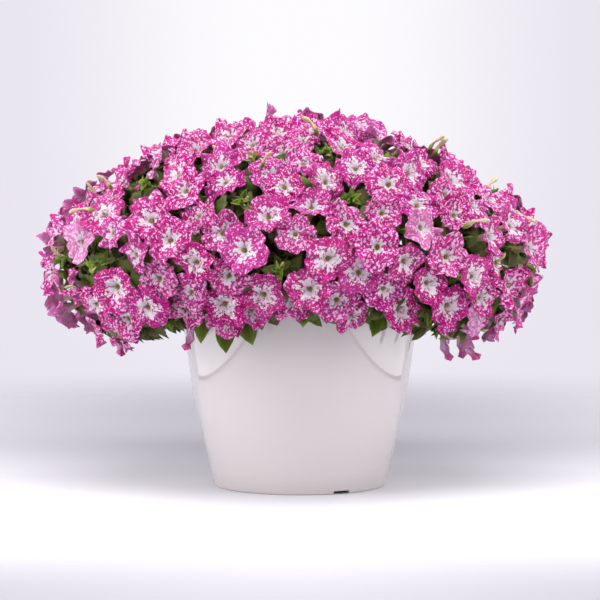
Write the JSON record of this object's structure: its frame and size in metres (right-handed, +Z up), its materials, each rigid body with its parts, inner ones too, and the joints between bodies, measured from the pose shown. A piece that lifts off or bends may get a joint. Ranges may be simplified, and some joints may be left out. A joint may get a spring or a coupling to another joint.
{
  "type": "potted petunia",
  "caption": "Round glossy white planter filled with soil, with bushy petunias that form one wide dome of ruffled pink and white speckled blooms.",
  "frame": {"origin": "centre of the pot's foot, on the surface that it stands on", "axes": "+Z up out of the pot, -Y towards the front, +X to the right when seen from the front"},
  "size_m": [0.6441, 0.6437, 0.4764],
  "materials": {
    "pot_gloss": "gloss",
    "soil": "matte",
    "foliage": "satin",
    "petals": "matte"
  },
  "bodies": {
    "root": {"plant_back_blooms_01": "petals", "plant_back_blooms_02": "petals", "plant_back_blooms_03": "petals", "plant_back_blooms_04": "petals", "plant_back_blooms_05": "petals", "plant_back_blooms_06": "petals", "plant_back_blooms_07": "petals", "plant_back_blooms_08": "petals", "plant_back_blooms_09": "petals", "plant_back_blooms_10": "petals", "plant_back_blooms_11": "petals", "plant_back_blooms_12": "petals", "plant_back_blooms_13": "petals", "plant_back_blooms_14": "petals", "plant_back_greens": "foliage", "plant_left_blooms_01": "petals", "plant_left_blooms_02": "petals", "plant_left_blooms_03": "petals", "plant_left_blooms_04": "petals", "plant_left_blooms_05": "petals", "plant_left_blooms_06": "petals", "plant_left_blooms_07": "petals", "plant_left_blooms_08": "petals", "plant_left_blooms_09": "petals", "plant_left_blooms_10": "petals", "plant_left_blooms_11": "petals", "plant_left_blooms_12": "petals", "plant_left_blooms_13": "petals", "plant_left_blooms_14": "petals", "plant_left_blooms_15": "petals", "plant_left_blooms_16": "petals", "plant_left_blooms_17": "petals", "plant_left_blooms_18": "petals", "plant_left_greens": "foliage", "plant_right_blooms_01": "petals", "plant_right_blooms_02": "petals", "plant_right_blooms_03": "petals", "plant_right_blooms_04": "petals", "plant_right_blooms_05": "petals", "plant_right_blooms_06": "petals", "plant_right_blooms_07": "petals", "plant_right_blooms_08": "petals", "plant_right_blooms_09": "petals", "plant_right_blooms_10": "petals", "plant_right_blooms_11": "petals", "plant_right_blooms_12": "petals", "plant_right_blooms_13": "petals", "plant_right_blooms_14": "petals", "plant_right_blooms_15": "petals", "plant_right_blooms_16": "petals", "plant_right_greens": "foliage", "pot": "pot_gloss", "soil": "soil"}
  },
  "joints": []
}
